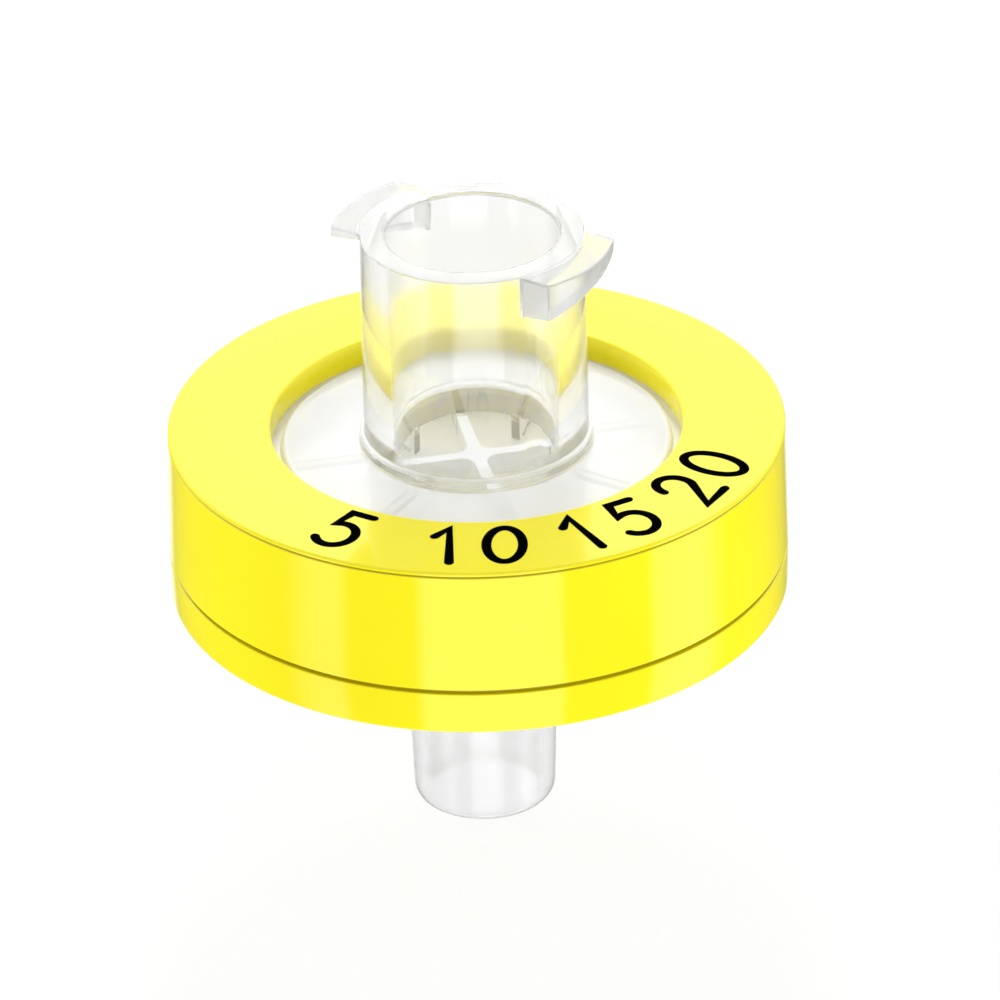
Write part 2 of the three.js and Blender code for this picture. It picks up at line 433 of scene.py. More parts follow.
class Graph:
    """A node tree that is written as expressions."""

    def __init__(self, tree: bpy.types.NodeTree) -> None:
        """Starts from an empty tree.

        Args:
            tree: The tree to fill.
        """
        self.tree = tree
        tree.nodes.clear()

    def node(
        self,
        kind: str,
        settings: dict[str, object] | None = None,
        inputs: dict[Union[str, int], Input] | None = None,
    ) -> bpy.types.Node:
        """Adds a node.

        Args:
            kind: The node's type, without its ShaderNode prefix.
            settings: The node's own settings.
            inputs: A number, a colour or a link for each socket named or numbered.

        Returns:
            The node.
        """
        node = self.tree.nodes.new("ShaderNode" + kind)
        for key, value in (settings or {}).items():
            setattr(node, key, value)
        for key, value in (inputs or {}).items():
            socket = node.inputs[key]
            if isinstance(value, Value):
                self.tree.links.new(value.socket, socket)
            else:
                socket.default_value = (*value, 1.0) if socket.type == "RGBA" else value
        return node

    def out(self, node: bpy.types.Node, name: Union[str, int] = 0) -> Value:
        """The output of a node, as a value."""
        return Value(self, node.outputs[name])

    def maths(self, operation: str, *terms: Number) -> Value:
        """Adds a Math node.

        Args:
            operation: What it does.
            terms: Its one, two or three terms.

        Returns:
            Its result.
        """
        return self.out(self.node("Math", {"operation": operation}, dict(enumerate(terms))))

    def place(self) -> Value:
        """The point on the surface, in millimetres of the row frame."""
        here = self.out(self.node("TexCoord"), "Object")
        return self.out(self.node("VectorMath", {"operation": "SCALE"}, {0: here, "Scale": 1 / MM}))

    def axes(self, vector: Value) -> tuple[Value, Value, Value]:
        """The three components of a vector."""
        parts = self.node("SeparateXYZ", inputs={0: vector})
        return self.out(parts, 0), self.out(parts, 1), self.out(parts, 2)

    def noise(self, where: Value, scale: float, detail: float = 2.0, roughness: float = 0.5) -> Value:
        """A soft noise from 0 to 1.

        Args:
            where: The point that it is looked up at, in millimetres.
            scale: How many blotches a millimetre has.
            detail: How many finer layers it has.
            roughness: How strong each finer layer is.

        Returns:
            The noise.
        """
        inputs = {"Vector": where, "Scale": scale, "Detail": detail, "Roughness": roughness}
        return self.out(self.node("TexNoise", {"noise_dimensions": "3D"}, inputs), "Fac")

    def step(self, value: Value, low: float, high: float, start: float = 0.0, end: float = 1.0) -> Value:
        """A smooth ramp from one result to another, and level beyond both.

        Args:
            value: What is looked up.
            low: Where the ramp starts.
            high: Where it ends.
            start: The result up to low.
            end: The result from high on.

        Returns:
            The result.
        """
        inputs = {"Value": value, "From Min": low, "From Max": high, "To Min": start, "To Max": end}
        return self.out(self.node("MapRange", {"interpolation_type": "SMOOTHSTEP"}, inputs))

    def band(self, value: Value, low: float, high: float, fades: Point, level: float = 1.0) -> Value:
        """A level between two borders, and 0 beyond them.

        Args:
            value: What is looked up.
            low: The lower border.
            high: The upper border.
            fades: Half the breadth of the ramp at each border.
            level: The result between them.

        Returns:
            The result.
        """
        rise = self.step(value, low - fades[0], low + fades[0], 0.0, level)
        return rise * self.step(value, high - fades[1], high + fades[1], 1.0, 0.0)

    def mix_colour(self, share: Number, first: Input, second: Input) -> Value:
        """Mixes two colours.

        Args:
            share: How much of the second there is.
            first: The first colour.
            second: The second colour.

        Returns:
            The mixed colour.
        """
        pick = {"data_type": "RGBA"}
        return self.out(self.node("Mix", pick, {0: share, 6: first, 7: second}), 2)

    def bump(self, height: Value, depth: float) -> Value:
        """Turns a height from 0 to 1 into a normal.

        Args:
            height: The height.
            depth: How deep a height of 1 is, in millimetres.

        Returns:
            The normal.
        """
        inputs = {"Height": height, "Distance": depth * MM, "Strength": 1.0}
        return self.out(self.node("Bump", inputs=inputs), "Normal")

    def finish(self, shader: bpy.types.Node, kind: str = "OutputMaterial") -> None:
        """Links a shader to the tree's output."""
        output = self.node(kind)
        self.tree.links.new(shader.outputs[0], output.inputs["Surface"])


# --- finishes


@dataclass(frozen=True)
class Finish:
    """What every finish has: a name and a way to become a material."""

    name: str

    def material(self) -> bpy.types.Material:
        """Makes the material.

        Returns:
            The material, with its node tree filled.
        """
        material = bpy.data.materials.new(self.name)
        material.use_nodes = True
        self.paint(Graph(material.node_tree))
        return material

    def paint(self, graph: Graph) -> None:
        """Fills the node tree; each finish has its own."""
        raise NotImplementedError


@dataclass(frozen=True)
class Zone:
    """A ring-shaped part of a piece, between two radii and two heights in millimetres."""

    inner: float
    outer: float
    bottom: float
    top: float
    fade: float = 0.05
    strength: float = 1.0

    def cover(self, graph: Graph, where: Value) -> Value:
        """How far a point is inside.

        Args:
            graph: The material's tree.
            where: The point, in millimetres.

        Returns:
            The zone's strength inside and 0 outside, faded at the borders.
        """
        x, y, z = graph.axes(where)
        radius = graph.maths("SQRT", x * x + y * y)
        fades = (self.fade, self.fade)
        across = graph.band(radius, self.inner, self.outer, fades, self.strength)
        return across * graph.band(z, self.bottom, self.top, fades)


def covered(graph: Graph, where: Value, zones: Sequence[Zone]) -> Number:
    """How far a point is inside any of the zones, which lie apart.

    Args:
        graph: The material's tree.
        where: The point, in millimetres.
        zones: The zones.

    Returns:
        The strength of the zone that it is in, or 0.
    """
    total: Number = 0.0
    for zone in zones:
        total = zone.cover(graph, where) + total
    return total


@dataclass(frozen=True)
class ClearPlastic(Finish):
    """Clear moulded polypropylene: faintly milky, with soft flow marks in its skin, painted darker where it
    is seen edge-on, and with painted shade in chosen zones.
    """

    name: str = "clear_polypropylene"
    tint: Colour = (0.98, 0.985, 0.995)
    haze: Colour = (0.955, 0.96, 0.975)
    edge_shade_tint: Colour = (0.74, 0.75, 0.77)
    clearness: float = 0.95
    milky: tuple[Zone, ...] = ()
    # painted shade: zones where the milk's colour is pulled towards a dark grey, standing in for shade and
    # dark refractions
    painted_shade_zones: tuple[Zone, ...] = ()
    painted_shade_tint: Colour = (0.3, 0.3, 0.28)
    frosted: tuple[Zone, ...] = ()
    frost: float = 0.15
    gloss: float = 0.035
    gloss_spread: float = 0.03
    refraction: float = 1.49
    shadow_tint: Colour = (0.79, 0.79, 0.79)
    flow_marks: float = 0.0012
    flow_scale: float = 0.9
    flow_band: Point = (0.4, 0.75)
    cloud_scale: float = 0.35
    cloud_band: Point = (0.35, 0.7)
    slant_band: Point = (0.4, 1.0)
    slant_power: float = 1.5

    def paint(self, graph: Graph) -> None:
        """Fills the node tree.

        Args:
            graph: The material's tree.
        """
        where = graph.place()
        flow = graph.noise(where, self.flow_scale, detail=3.0, roughness=0.55)
        clouds = graph.noise(where, self.cloud_scale)
        colour = graph.mix_colour(graph.step(clouds, *self.cloud_band), self.tint, self.haze)
        frost = self.frost * covered(graph, where, self.frosted)
        skin = {
            "Roughness": self.gloss + self.gloss_spread * graph.step(flow, *self.flow_band) + frost,
            "Normal": graph.bump(flow, self.flow_marks),
            "IOR": self.refraction,
        }
        # partly painted shade: the colour darkens where the surface is seen edge-on, standing in for the dark
        # outlines of the clear walls, and in part for the longer path through the plastic
        slant = graph.out(graph.node("LayerWeight", inputs={"Blend": 0.5}), "Facing")
        depth = graph.step(slant, *self.slant_band) ** self.slant_power
        thick = graph.mix_colour(depth, colour, self.edge_shade_tint)
        glass = skin | {"Base Color": thick, "Transmission Weight": self.clearness}
        clear = graph.out(graph.node("BsdfPrincipled", inputs=glass))
        # painted shade: inside those zones the milk is mixed towards the dark grey
        shade_painted_colour = graph.mix_colour(covered(graph, where, self.painted_shade_zones), colour, self.painted_shade_tint)
        milk = graph.out(graph.node("BsdfPrincipled", inputs=skin | {"Base Color": shade_painted_colour}))
        share = covered(graph, where, self.milky)
        plastic = graph.out(graph.node("MixShader", inputs={0: share, 1: clear, 2: milk}))
        pale_shadow = graph.out(graph.node("BsdfTransparent", inputs={"Color": self.shadow_tint}))
        shadow = graph.out(graph.node("LightPath"), "Is Shadow Ray")
        graph.finish(graph.node("MixShader", inputs={0: shadow, 1: plastic, 2: pale_shadow}))


@dataclass(frozen=True)
class YellowPlastic(Finish):
    """Opaque yellow overmoulding: glossy, with a barely uneven skin, faint pigment clouds, and painted shade
    in its grooves.
    """

    name: str = "yellow_overmould"
    colour: Colour = (0.95, 0.85, 0.008)
    deep_colour: Colour = (0.93, 0.80, 0.006)
    gloss: float = 0.06
    skin_depth: float = 0.0006
    skin_scale: float = 2.2
    cloud_scale: float = 0.22
    cloud_band: Point = (0.4, 0.72)
    cloud_share: float = 0.5
    grain_scale: float = 18.0
    grain_band: Point = (0.45, 0.8)
    grain_share: float = 0.15
    grain_roughness: float = 0.04
    # painted shade: a dark ochre laid into the parting groove and the fine line under the top edge, standing
    # in for the shade inside them
    groove_shade_colour: Colour = (0.5, 0.42, 0.004)
    painted_groove_shade: tuple[Zone, ...] = ()

    def paint(self, graph: Graph) -> None:
        """Fills the node tree.

        Args:
            graph: The material's tree.
        """
        where = graph.place()
        clouds = graph.noise(where, self.cloud_scale, detail=3.0)
        grain = graph.noise(where, self.grain_scale, roughness=0.6)
        skin = graph.noise(where, self.skin_scale, roughness=0.4)
        share = graph.step(clouds, *self.cloud_band) * self.cloud_share
        share = share + graph.step(grain, *self.grain_band) * self.grain_share
        clean = graph.mix_colour(share, self.colour, self.deep_colour)
        # painted shade: the groove zones mix the base colour towards the dark ochre
        groove_shade = covered(graph, where, self.painted_groove_shade)
        inputs = {
            "Base Color": graph.mix_colour(groove_shade, clean, self.groove_shade_colour),
            "Roughness": self.gloss + grain * self.grain_roughness,
            "Normal": graph.bump(skin, self.skin_depth),
            "IOR": 1.5,
        }
        graph.finish(graph.node("BsdfPrincipled", inputs=inputs))


@dataclass(frozen=True)
class NylonMembrane(Finish):
    """A microporous nylon membrane: matt, off-white, with a fine felted grain."""

    name: str = "nylon_membrane"
    colour: Colour = (0.79, 0.78, 0.70)
    shade: Colour = (0.73, 0.72, 0.64)
    grain_scale: float = 14.0
    grain_depth: float = 0.006
    grain_band: Point = (0.5, 0.8)
    grain_share: float = 0.5
    cloud_scale: float = 0.6
    cloud_band: Point = (0.4, 0.8)
    cloud_share: float = 0.25
    mattness: float = 0.78
    mattness_spread: float = 0.12

    def paint(self, graph: Graph) -> None:
        """Fills the node tree.

        Args:
            graph: The material's tree.
        """
        where = graph.place()
        felt = graph.noise(where, self.grain_scale, detail=4.0, roughness=0.7)
        clouds = graph.noise(where, self.cloud_scale)
        share = graph.step(felt, *self.grain_band) * self.grain_share
        share = share + graph.step(clouds, *self.cloud_band) * self.cloud_share
        inputs = {
            "Base Color": graph.mix_colour(share, self.colour, self.shade),
            "Roughness": self.mattness + felt * self.mattness_spread,
            "Normal": graph.bump(felt, self.grain_depth),
            "IOR": 1.5,
        }
        graph.finish(graph.node("BsdfPrincipled", inputs=inputs))


@dataclass(frozen=True)
class PrintingInk(Finish):
    """Black printing ink, slightly uneven where the pad laid it down."""

    name: str = "printing_ink"
    colour: Colour = (0.001, 0.001, 0.0014)
    thin_colour: Colour = (0.004, 0.0038, 0.003)
    speckle_scale: float = 9.0
    speckle_depth: float = 0.0015
    speckle_band: Point = (0.5, 0.75)
    mattness: float = 0.4
    mattness_spread: float = 0.14

    def paint(self, graph: Graph) -> None:
        """Fills the node tree.

        Args:
            graph: The material's tree.
        """
        where = graph.place()
        speckle = graph.noise(where, self.speckle_scale, detail=3.0, roughness=0.6)
        thin = graph.step(speckle, *self.speckle_band)
        inputs = {
            "Base Color": graph.mix_colour(thin, self.colour, self.thin_colour),
            "Roughness": self.mattness + speckle * self.mattness_spread,
            "Normal": graph.bump(speckle, self.speckle_depth),
            "IOR": 1.5,
            "Specular IOR Level": 0.0,
        }
        graph.finish(graph.node("BsdfPrincipled", inputs=inputs))


@dataclass(frozen=True)
class StudioWhite(Finish):
    """A floor that glows white to the camera and keeps a faint shadow near the object."""

    name: str = "studio_white"
    colour: Colour = (0.95, 0.95, 0.95)
    stain: Colour = (0.94, 0.94, 0.94)
    stain_scale: float = 0.5
    glow: float = 0.92
    shadow_fade: Point = (20.0, 90.0)

    def paint(self, graph: Graph) -> None:
        """Fills the node tree.

        Args:
            graph: The material's tree.
        """
        where = graph.place()
        away = graph.out(graph.node("VectorMath", {"operation": "LENGTH"}, {0: where}), "Value")
        grain = graph.noise(where, self.stain_scale)
        white = graph.mix_colour(grain, self.colour, self.stain)
        paint = graph.out(graph.node("BsdfDiffuse", inputs={"Color": white}))
        camera = graph.out(graph.node("LightPath"), "Is Camera Ray")
        glow = graph.out(graph.node("Emission", inputs={"Color": WHITE, "Strength": camera}))
        share = camera * graph.step(away, *self.shadow_fade, self.glow, 1.0)
        graph.finish(graph.node("MixShader", inputs={0: share, 1: paint, 2: glow}))


class Slot(Enum):
    """The record's material slots that the pieces take their finishes from."""

    CLEAR = "clear_plastic"
    NYLON = "nylon_membrane"
    YELLOW = "yellow_plastic"


def mount_piece(solid: Solid, finish: bpy.types.Material, slot: Slot, node: str | None) -> None:
    """Dresses a piece and ties it to the frame.

    Args:
        solid: The piece.
        finish: Its material.
        slot: The record's slot that the material belongs to; not used.
        node: The CAD node that the piece stands for, if it does.
    """
    piece = solid.object
    piece.data.materials.clear()
    piece.data.materials.append(finish)
    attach(piece, "root")
    if node:
        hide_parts(node)
    LOG.info("%s: %d faces", piece.name, len(piece.data.polygons))


# --- the sub-assemblies


@dataclass
class SubAssembly:
    """What every sub-assembly has: the shared sizes, the slot of its finish and the CAD node it replaces."""

    slot: ClassVar[Slot]
    node: ClassVar[str | None] = None
    size: Envelope

    def shape(self) -> Solid:
        """Models the piece; each sub-assembly has its own."""
        raise NotImplementedError

    def build(self, finish: bpy.types.Material) -> None:
        """Models and dresses the piece.

        Args:
            finish: Its material.
        """
        mount_piece(self.shape(), finish, self.slot, self.node)


@dataclass
class OvermouldRing(SubAssembly):
    """The yellow ring: a C section that grips both housings' rims."""

    slot = Slot.YELLOW
    node = "overmould_ring"
    window_radius: float = 5.72
    window_round: float = 0.1
    lower_lip: float = 1.26
    wall: float = 1.56
    draft: float = 0.1
    land_depth: float = 0.73
    edge_round: float = 0.08
    groove_width: float = 0.15
    groove_depth: float = 0.13
    groove_round: float = 0.02
    groove_floor: Point = (0.3, 0.5)
    edge_line: float = 0.1
    edge_line_depth: float = 0.045
    edge_line_height: float = 0.08
    edge_line_proud: float = 0.003
    arc_step: float = 9.0
    segments: int = 256

    @property
    def parting(self) -> float:
        """Height of the parting line."""
        return self.size.ring_bottom + self.lower_lip

    @property
    def painted_groove_shade(self) -> tuple[Zone, ...]:
        """Where painted shade darkens the yellow, standing in for the shade inside the grooves.

        Returns:
            The parting groove and the fine line under the top edge, both painted darker.
        """
        outer, top_radius = self.size.ring_radius, self.size.ring_radius - self.draft
        line = self.size.ring_top - self.edge_line - self.edge_line_height / 2
        groove = Zone(outer - BEYOND, outer - 0.035, self.parting - 0.12, self.parting + 0.12, fade=0.015)
        return groove, Zone(outer - BEYOND, top_radius - 0.012, line - 0.06, line + 0.06, fade=0.01)

    def shape(self) -> Solid:
        """Turns the section.

        Returns:
            The ring.
        """
        size, parting = self.size, self.parting
        outer = size.ring_radius
        top_radius = outer - self.draft
        half, deep = self.groove_width / 2, outer - self.groove_depth
        cavity = outer - self.wall
        land = size.ring_top - self.land_depth
        line_radius = top_radius + self.edge_line_proud
        line_top = size.ring_top - self.edge_line
        line_bottom = line_top - self.edge_line_height
        corners = [
            Corner(self.window_radius, size.ring_bottom, self.window_round),
            Corner(outer, size.ring_bottom, self.edge_round),
            Corner(outer, parting - half, self.groove_round),
            Corner(deep, parting - half * self.groove_floor[0], self.groove_round),
            Corner(deep, parting + half * self.groove_floor[1], self.groove_round),
            Corner(outer, parting + half, self.groove_round),
            Corner(line_radius, line_bottom),
            Corner(line_radius - self.edge_line_depth, (line_bottom + line_top) / 2),
            Corner(line_radius, line_top),
            Corner(top_radius, size.ring_top, self.edge_round),
            Corner(self.window_radius, size.ring_top, self.window_round),
            Corner(self.window_radius, land),
            Corner(cavity, land),
            Corner(cavity, parting),
            Corner(self.window_radius, parting),
        ]
        return Solid.turned("ring", rounded_outline(corners, self.arc_step), self.segments).smoothed()


@dataclass
class FilterMembrane(SubAssembly):
    """The nylon disc that the housings clamp."""

    slot = Slot.NYLON
    node = "membrane"
    edge_round: float = 0.03
    arc_step: float = 30.0
    segments: int = 192

    def shape(self) -> Solid:
        """Turns the section.

        Returns:
            The disc.
        """
        size = self.size
        corners = [
            Corner(0.0, size.joint),
            Corner(size.membrane_radius, size.joint, self.edge_round),
            Corner(size.membrane_radius, size.membrane_top, self.edge_round),
            Corner(0.0, size.membrane_top),
        ]
        outline = rounded_outline(corners, self.arc_step)
        return Solid.turned("membrane_disc", outline, self.segments).smoothed()


@dataclass
class InletHousing(SubAssembly):
    """Socket, barrel, collar and plate with the ribs, the flow splitter and the two thread lugs."""

    slot = Slot.CLEAR
    node = "inlet_housing"
    recess: float = 0.53
    shutoff_step: float = 0.2
    shutoff_radius: float = 5.4
    shutoff_draft: float = 0.06
    plate: float = 0.42
    channel_radius: float = 5.3
    skirt_radius: float = 5.9
    mouth_radius: float = 2.38
    hole_radius: float = 2.31
    barrel_radius: float = 3.07
    barrel_foot: float = 3.13
    collar_radius: float = 3.25
    collar_height: float = 0.35
    rim_round: float = 0.05
    hole_round: float = 0.04
    channel_round: float = 0.06
    land_round: float = 0.03
    raised_round: float = 0.12
    collar_root: float = 0.06
    collar_round: float = 0.14
    barrel_root: float = 0.05
    lug_projection: float = 0.83
    lug_width: float = 3.33
    lug_depth: float = 0.71
    lug_lead: float = 5.5
    lug_drop: float = 0.012
    lug_round: float = 0.06
    lug_steps: int = 24
    arm_width: float = 0.35
    arm_fillet: float = 0.4
    fillet_steps: int = 8
    first_arm: float = 45.0
    rib_width: float = 0.3
    rib_count: int = 8
    rib_stub: float = 0.12
    feature_round: float = 0.025
    film: float = 0.01
    embed: float = 0.1
    segments: int = 192

    @property
    def plate_top(self) -> float:
        """Height of the inlet plate's top."""
        return self.size.ring_top - self.recess

    @property
    def plate_bottom(self) -> float:
        """Height of the inlet plate's underside."""
        return self.plate_top - self.plate

    @property
    def land(self) -> float:
        """Height of the land round the plate's raised part."""
        return self.plate_top - self.shutoff_step

    @property
    def stub_radius(self) -> float:
        """Radius that the ribs without an arm start at, inside the hole."""
        return self.hole_radius - self.rib_stub

    @property
    def milky(self) -> tuple[Zone, ...]:
        """Where the plastic comes out milky: the lugs a little, the plate and the flow splitter more.

        Returns:
            The zones.
        """
        hole, barrel, collar = self.hole_radius, self.barrel_radius, self.collar_radius
        bottom, skin = self.plate_bottom, self.plate_top + 0.1
        stub, raised = self.stub_radius - 0.03, self.shutoff_radius - 0.15
        low, mouth, top = self.floor - 0.02, self.size.inlet_top, self.size.inlet_top + BEYOND
        edge = self.plate_top + self.collar_height
        lugs = Zone(barrel + 0.08, barrel + 2 * BEYOND, self.plate_top + 3.0, top, strength=0.4)
        plate = Zone(collar - 0.05, raised, self.plate_top - 0.05, skin, fade=0.03, strength=0.6)
        shelf = Zone(raised, self.shutoff_radius + BEYOND, self.land - 0.05, skin, fade=0.03, strength=0.65)
        splitter = Zone(-BEYOND, stub, low, bottom + 0.2, fade=0.02)
        stubs = Zone(stub, hole + 0.1, low, bottom - 0.03, fade=0.02, strength=0.85)
        wall = Zone(hole - 0.1, hole + 0.15, bottom + 0.04, self.plate_top + 0.45, fade=0.12, strength=0.22)
        foot = self.barrel_foot - 0.03
        # painted highlight: a milky band along the collar's top edge, standing in for the white highlight on
        # its rounding
        collar_edge_highlight = Zone(foot, collar + 0.1, edge - 0.09, edge + 0.05, fade=0.02, strength=0.6)
        rim = Zone(self.mouth_radius + 0.08, barrel + 0.06, mouth - 0.04, top, fade=0.03, strength=0.3)
        # the two lines take milk here and painted shade in the shade zones, together drawn as dark lines
        lines = (self.mouth_line(0.5), self.rib_line(0.9))
        return (lugs, plate, shelf, splitter, stubs, wall, collar_edge_highlight, rim, *lines)

    @property
    def painted_shade_zones(self) -> tuple[Zone, ...]:
        """Where painted shade darkens the milk, standing in for shade and dark refractions: the inner ends of
        the short ribs, a little in the thick lugs, and the lines in the socket's mouth and along the ribs.

        Returns:
            The zones.
        """
        end, bottom, mouth = self.stub_radius, self.plate_top + 3.0, self.size.inlet_top
        inner, outer, edge = self.barrel_radius + 0.08, self.barrel_radius + self.lug_projection, mouth - 0.08
        low, high = self.floor - 0.02, self.plate_bottom - 0.05
        ends = Zone(end - 0.04, end + 0.03, low, high, fade=0.01, strength=0.95)
        sides = Zone(inner, outer - 0.05, bottom, edge, fade=0.04, strength=0.15)
        faces = Zone(outer - 0.05, outer + BEYOND, bottom, edge, fade=0.04, strength=0.62)
        tops = Zone(inner, outer + BEYOND, edge, mouth + BEYOND, fade=0.04, strength=0.5)
        return ends, sides, faces, tops, self.mouth_line(0.8), self.rib_line(1.0)

    @property
    def frosted(self) -> tuple[Zone, ...]:
        """Where the socket's wall is less polished: its upper part."""
        low, high = self.plate_top + 3.2, self.size.inlet_top - 0.03
        return (Zone(-BEYOND, self.mouth_radius + 0.05, low, high, fade=0.6),)

    def rib_line(self, strength: float) -> Zone:
        """The top of the ribs' sides, where they meet the plate, at a strength; milk and painted shade there
        draw it as a dark line.
        """
        low = self.plate_bottom
        return Zone(self.collar_radius, self.channel_radius - 0.1, low - 0.16, low - 0.04, 0.02, strength)

    def mouth_line(self, strength: float) -> Zone:
        """The thin line just inside the socket's mouth, at a strength; milk and painted shade there draw it
        as a dark line.
        """
        top = self.size.inlet_top
        return Zone(self.mouth_radius - 0.3, self.mouth_radius + 0.04, top - 0.1, top - 0.01, 0.02, strength)

    @property
    def floor(self) -> float:
        """Height that the ribs and the seal land reach down to, a thin film above the membrane."""
        return self.size.membrane_top + self.film

    def _body(self) -> Solid:
        """The turned body.

        Returns:
            Socket, barrel, collar, plate and skirt in one.
        """
        size = self.size
        collar_top = self.plate_top + self.collar_height
        corners = [
            Corner(self.hole_radius, self.plate_bottom, self.hole_round),
            Corner(self.channel_radius, self.plate_bottom, self.channel_round),
            Corner(self.channel_radius, self.floor, self.land_round),
            Corner(self.skirt_radius, self.floor),
            Corner(self.skirt_radius, size.joint + self.film),
            Corner(size.rim_radius, size.joint + self.film),
            Corner(size.rim_radius, self.land),
            Corner(self.shutoff_radius + self.shutoff_draft, self.land, self.land_round),
            Corner(self.shutoff_radius, self.plate_top, self.raised_round),
            Corner(self.collar_radius, self.plate_top, self.collar_root),
            Corner(self.collar_radius, collar_top, self.collar_round),
            Corner(self.barrel_foot, collar_top, self.barrel_root),
            Corner(self.barrel_radius, size.inlet_top, self.rim_round),
            Corner(self.mouth_radius, size.inlet_top, self.rim_round),
        ]
        return Solid.turned("inlet", rounded_outline(corners), self.segments)

    def _lugs(self) -> Solid:
        """The two thread lugs.

        Returns:
            Both lugs in one mesh.
        """
        root = self.barrel_radius - self.embed
        outer = self.barrel_radius + self.lug_projection
        top = self.size.inlet_top - self.lug_drop
        loops = []
        for step in range(self.lug_steps + 1):
            across = self.lug_width * (step / self.lug_steps - 0.5)
            edges = []
            for radius in (root, outer):
                out = math.sqrt(radius**2 - across**2)
                depth = self.lug_depth - self.lug_lead * math.atan2(across, out) / (2 * math.pi)
                edges.append((out, top - depth + self.lug_drop))
            (near, near_low), (far, far_low) = edges
            section = ((near, near_low), (far, far_low), (far, top), (near, top))
            loops.append([Vector((x, across, z)) for x, z in section])
        lug = Solid.swept("lug", loops).rounded(self.lug_round, 4)
        return lug.merged_with([lug.turned_copy(180.0)])

    def _splitter(self) -> Solid:
        """The cross in the hole.

        Returns:
            The cross, with a concave fillet between each two arms.
        """
        half = self.arm_width / 2
        reach = self.hole_radius + self.embed
        centre = half + self.arm_fillet
        outline = []
        for arm in range(4):
            spin = Matrix.Rotation(math.radians(self.first_arm + 90 * arm), 2)
            outline += [spin @ Vector((reach, -half)), spin @ Vector((reach, half))]
            for step in range(self.fillet_steps + 1):
                angle = math.radians(-90 - 90 * step / self.fillet_steps)
                spoke = self.arm_fillet * Vector((math.cos(angle), math.sin(angle)))
                outline.append(spin @ (Vector((centre, centre)) + spoke))
        loops = [[Vector((*point, z)) for point in outline] for z in (self.floor, self.plate_bottom)]
        return Solid.swept("splitter", loops).rounded(self.feature_round, 2, 50.0)

    def _ribs(self) -> Solid:
        """The ribs under the plate, with and without an arm in turn.

        Returns:
            All ribs in one mesh.
        """
        starts, end = (self.hole_radius, self.stub_radius), self.channel_radius + self.embed
        span = (self.floor, self.plate_bottom + self.embed)
        return Solid.spokes(
            starts, end, self.rib_width, span, self.first_arm, self.rib_count, self.feature_round
        )

    def shape(self) -> Solid:
        """Joins lugs, ribs and splitter onto the body.

        Returns:
            The housing.
        """
        body = self._body()
        for feature in (self._lugs(), self._ribs(), self._splitter()):
            body.joined_with(feature)
        return body.smoothed()


@dataclass
class OutletHousing(SubAssembly):
    """Plate with the bars under the membrane, and the tapered outlet with its bore."""

    slot = Slot.CLEAR
    node = "outlet_housing"
    lower_lip: float = 1.26
    channel: float = 0.45
    channel_radius: float = 5.3
    tip_radius: float = 2.01
    slope: float = 0.03
    bore_radius: float = 1.57
    drain_radius: float = 1.45
    round_width: float = 0.16
    round_height: float = 0.4
    round_steps: int = 10
    root_fillet: float = 0.3
    land_round: float = 0.03
    channel_round: float = 0.06
    bar_width: float = 0.36
    bar_count: int = 16
    bar_starts: tuple[float, float] = (1.9, 3.4)
    first_bar: float = 45.0
    feature_round: float = 0.03
    film: float = 0.01
    embed: float = 0.1
    segments: int = 192

    @property
    def milky(self) -> tuple[Zone, ...]:
        """Where the plastic comes out milky: all of the tip a little, and the edge of its bore."""
        inner, outer = self.bore_radius + 0.1, self.tip_radius + BEYOND
        return Zone(inner, outer, -BEYOND, self.size.joint - 0.5, strength=0.06), self.bore_line(0.45)

    def bore_line(self, strength: float) -> Zone:
        """The thin line round the lower end of the bore, at a strength; with milk and painted shade it is
        drawn as a dark outline, standing in for the dark refraction at the tip's end.
        """
        return Zone(self.bore_radius - 0.3, self.bore_radius + 0.05, -0.2, 0.1, 0.02, strength)

    def _body(self) -> Solid:
        """The turned body.

        Returns:
            Plate and tapered outlet in one.
        """
        size = self.size
        underside = size.ring_bottom + self.lower_lip
        floor = size.joint - self.channel
        wide, high = self.round_width, self.round_height
        inner = (self.bore_radius + wide, high)
        outer = (self.tip_radius + self.slope * high - wide, high)
        end = arc_path(inner, wide, high, 180, 270, self.round_steps)
        end += arc_path(outer, wide, high, 270, 360, self.round_steps)
        corners = [
            *(Corner(*point) for point in end),
            Corner(self.tip_radius + self.slope * underside, underside, self.root_fillet),
            Corner(size.rim_radius, underside),
            Corner(size.rim_radius, size.joint),
            Corner(self.channel_radius, size.joint, self.land_round),
            Corner(self.channel_radius, floor, self.channel_round),
            Corner(self.drain_radius, floor, self.channel_round),
        ]
        return Solid.turned("outlet", rounded_outline(corners), self.segments)

    def shape(self) -> Solid:
        """Joins the bars that carry the membrane onto the body.

        Returns:
            The housing.
        """
        end, film = self.channel_radius + self.embed, self.size.joint - self.film
        span = (self.size.joint - self.channel - self.embed, film)
        bars = Solid.spokes(
            self.bar_starts, end, self.bar_width, span, self.first_bar, self.bar_count, self.feature_round
        )
        return self._body().joined_with(bars).smoothed()


class Digit(Enum):
    """The digits that the scale uses, each one stroke on a grid one unit wide and high."""

    ZERO = "0"
    ONE = "1"
    TWO = "2"
    FIVE = "5"

    def stroke(self) -> list[Point]:
        """The path that the stroke's middle follows.

        Returns:
            The points, from 0 to 1 across and from 0 to 1 up.
        """
        if self is Digit.ZERO:
            return arc_path((0.5, 0.5), 0.5, 0.5, 90, 450, 48)
        if self is Digit.ONE:
            return [(0.2, 0.78), (0.6, 1.0), (0.6, 0.0)]
        if self is Digit.TWO:
            crown = arc_path((0.48, 0.7), 0.46, 0.3, 170, -38, 26)
            return crown + [(0.0, 0.0), (1.0, 0.0)]
        bowl = arc_path((0.44, 0.33), 0.54, 0.33, 122, -142, 34)
        return [(0.92, 1.0), (0.26, 1.0)] + bowl


